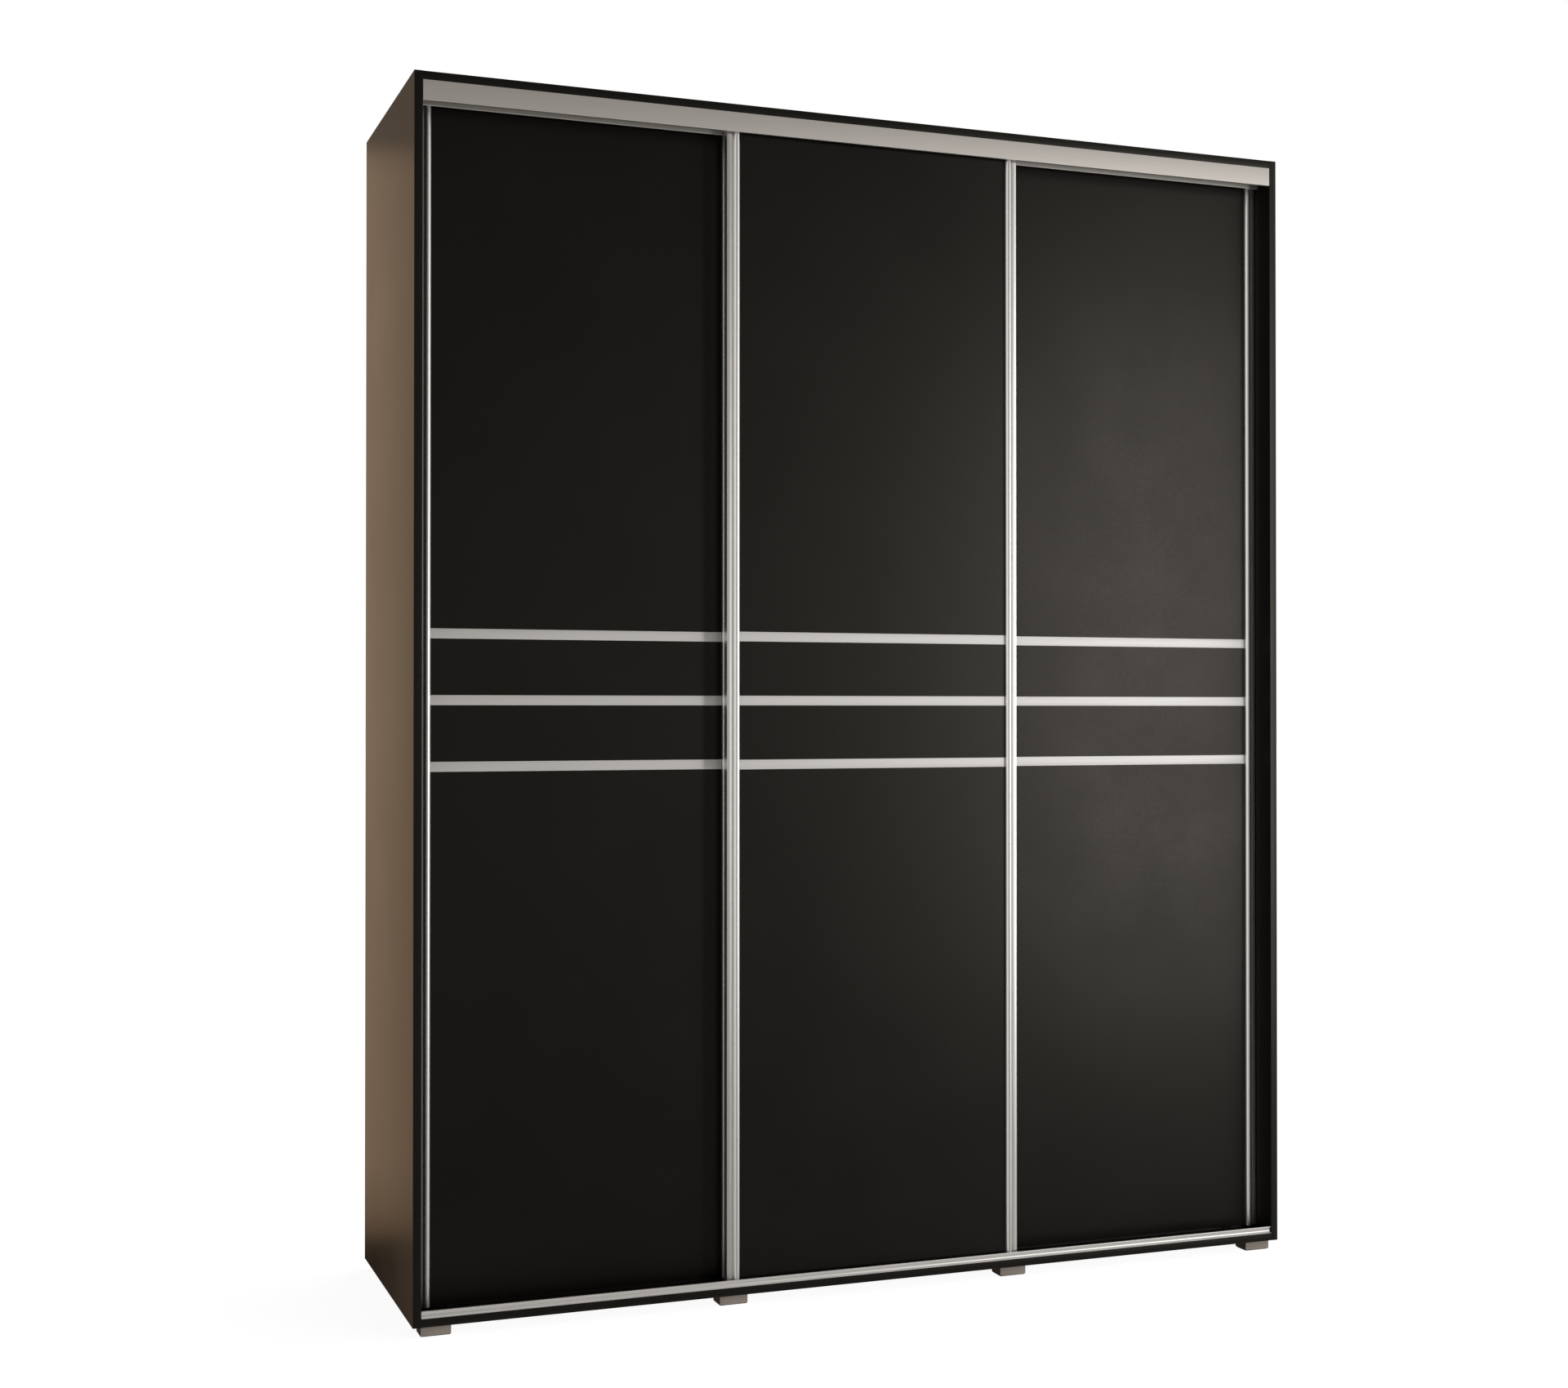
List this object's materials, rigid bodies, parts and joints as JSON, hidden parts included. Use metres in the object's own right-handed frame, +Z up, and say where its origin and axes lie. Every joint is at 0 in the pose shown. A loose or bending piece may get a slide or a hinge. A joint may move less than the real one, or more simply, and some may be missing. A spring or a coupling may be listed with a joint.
{
  "type": "sliding door wardrobe",
  "caption": "Tall free-standing wardrobe: black board carcass on block feet, sliding doors with aluminium handle stiles and strips on a double track.",
  "frame": {"origin": "centre of the footprint on the floor, under the feet", "axes": "+X to the right along the front, +Y from the doors to the back, +Z up"},
  "size_m": [1.87, 0.54, 2.352],
  "materials": {
    "laminate": "black satin melamine laminate with a faint grain",
    "back_board": "dark lacquered hardboard",
    "aluminium": "satin anodised",
    "foot_plastic": "taupe moulded",
    "carriage_steel": "zinc plated",
    "nylon": "moulded black nylon",
    "chrome": "polished"
  },
  "bodies": {
    "carcass": {"side_panel_left": "laminate", "side_panel_right": "laminate", "top_panel": "laminate", "bottom_panel": "laminate", "partition_left": "laminate", "partition_right": "laminate", "back_panel": "back_board", "top_track": "aluminium", "bottom_track": "aluminium", "hat_shelf_left": "laminate", "hat_shelf_right": "laminate", "hanging_rail_left": "chrome", "hanging_rail_right": "chrome", "mid_shelf_lower": "laminate", "mid_shelf_centre": "laminate", "mid_shelf_upper": "laminate", "foot_front_left": "foot_plastic", "foot_front_mid_left": "foot_plastic", "foot_front_mid_right": "foot_plastic", "foot_front_right": "foot_plastic", "foot_back_left": "foot_plastic", "foot_back_mid_left": "foot_plastic", "foot_back_mid_right": "foot_plastic", "foot_back_right": "foot_plastic"},
    "left_door": {"left_door_panel": "laminate", "left_door_left_stile": "aluminium", "left_door_left_carriage": "carriage_steel", "left_door_right_stile": "aluminium", "left_door_right_carriage": "carriage_steel", "left_door_strip_bottom": "aluminium", "left_door_strip_middle": "aluminium", "left_door_strip_top": "aluminium"},
    "middle_door": {"middle_door_panel": "laminate", "middle_door_left_stile": "aluminium", "middle_door_left_carriage": "carriage_steel", "middle_door_right_stile": "aluminium", "middle_door_right_carriage": "carriage_steel", "middle_door_strip_bottom": "aluminium", "middle_door_strip_middle": "aluminium", "middle_door_strip_top": "aluminium"},
    "right_door": {"right_door_panel": "laminate", "right_door_left_stile": "aluminium", "right_door_left_carriage": "carriage_steel", "right_door_right_stile": "aluminium", "right_door_right_carriage": "carriage_steel", "right_door_strip_bottom": "aluminium", "right_door_strip_middle": "aluminium", "right_door_strip_top": "aluminium"},
    "left_door_left_wheel": {"left_door_left_wheel": "nylon"},
    "left_door_left_guide_roller": {"left_door_left_guide_roller": "nylon"},
    "left_door_right_wheel": {"left_door_right_wheel": "nylon"},
    "left_door_right_guide_roller": {"left_door_right_guide_roller": "nylon"},
    "middle_door_left_wheel": {"middle_door_left_wheel": "nylon"},
    "middle_door_left_guide_roller": {"middle_door_left_guide_roller": "nylon"},
    "middle_door_right_wheel": {"middle_door_right_wheel": "nylon"},
    "middle_door_right_guide_roller": {"middle_door_right_guide_roller": "nylon"},
    "right_door_left_wheel": {"right_door_left_wheel": "nylon"},
    "right_door_left_guide_roller": {"right_door_left_guide_roller": "nylon"},
    "right_door_right_wheel": {"right_door_right_wheel": "nylon"},
    "right_door_right_guide_roller": {"right_door_right_guide_roller": "nylon"}
  },
  "joints": [
    {"name": "left_door_slide", "type": "slide", "parent": "carcass", "child": "left_door", "axis": [1, 0, 0], "range_m": [0, 0.57]},
    {"name": "middle_door_slide", "type": "slide", "parent": "carcass", "child": "middle_door", "axis": [1, 0, 0], "range_m": [-0.602, 0.602]},
    {"name": "right_door_slide", "type": "slide", "parent": "carcass", "child": "right_door", "axis": [1, 0, 0], "range_m": [-0.57, 0]},
    {"name": "left_door_left_wheel_spin", "type": "hinge", "parent": "left_door", "child": "left_door_left_wheel", "pos_m": [-0.828, -0.2008, 0.0548], "axis": [0, 1, 0], "continuous": true},
    {"name": "left_door_left_guide_roller_spin", "type": "hinge", "parent": "left_door", "child": "left_door_left_guide_roller", "pos_m": [-0.858, -0.2028, 2.308], "axis": [0, 0, 1], "continuous": true},
    {"name": "left_door_right_wheel_spin", "type": "hinge", "parent": "left_door", "child": "left_door_right_wheel", "pos_m": [-0.376, -0.2008, 0.0548], "axis": [0, 1, 0], "continuous": true},
    {"name": "left_door_right_guide_roller_spin", "type": "hinge", "parent": "left_door", "child": "left_door_right_guide_roller", "pos_m": [-0.346, -0.2028, 2.308], "axis": [0, 0, 1], "continuous": true},
    {"name": "middle_door_left_wheel_spin", "type": "hinge", "parent": "middle_door", "child": "middle_door_left_wheel", "pos_m": [-0.226, -0.2428, 0.0548], "axis": [0, 1, 0], "continuous": true},
    {"name": "middle_door_left_guide_roller_spin", "type": "hinge", "parent": "middle_door", "child": "middle_door_left_guide_roller", "pos_m": [-0.256, -0.2448, 2.308], "axis": [0, 0, 1], "continuous": true},
    {"name": "middle_door_right_wheel_spin", "type": "hinge", "parent": "middle_door", "child": "middle_door_right_wheel", "pos_m": [0.226, -0.2428, 0.0548], "axis": [0, 1, 0], "continuous": true},
    {"name": "middle_door_right_guide_roller_spin", "type": "hinge", "parent": "middle_door", "child": "middle_door_right_guide_roller", "pos_m": [0.256, -0.2448, 2.308], "axis": [0, 0, 1], "continuous": true},
    {"name": "right_door_left_wheel_spin", "type": "hinge", "parent": "right_door", "child": "right_door_left_wheel", "pos_m": [0.376, -0.2008, 0.0548], "axis": [0, 1, 0], "continuous": true},
    {"name": "right_door_left_guide_roller_spin", "type": "hinge", "parent": "right_door", "child": "right_door_left_guide_roller", "pos_m": [0.346, -0.2028, 2.308], "axis": [0, 0, 1], "continuous": true},
    {"name": "right_door_right_wheel_spin", "type": "hinge", "parent": "right_door", "child": "right_door_right_wheel", "pos_m": [0.828, -0.2008, 0.0548], "axis": [0, 1, 0], "continuous": true},
    {"name": "right_door_right_guide_roller_spin", "type": "hinge", "parent": "right_door", "child": "right_door_right_guide_roller", "pos_m": [0.858, -0.2028, 2.308], "axis": [0, 0, 1], "continuous": true}
  ],
  "couplings": [
    {"joint": "left_door_left_wheel_spin", "follows": "left_door_slide", "rad_per_m": 71.429},
    {"joint": "left_door_right_wheel_spin", "follows": "left_door_slide", "rad_per_m": 71.429},
    {"joint": "middle_door_left_wheel_spin", "follows": "middle_door_slide", "rad_per_m": 71.429},
    {"joint": "middle_door_right_wheel_spin", "follows": "middle_door_slide", "rad_per_m": 71.429},
    {"joint": "right_door_left_wheel_spin", "follows": "right_door_slide", "rad_per_m": 71.429},
    {"joint": "right_door_right_wheel_spin", "follows": "right_door_slide", "rad_per_m": 71.429}
  ]
}
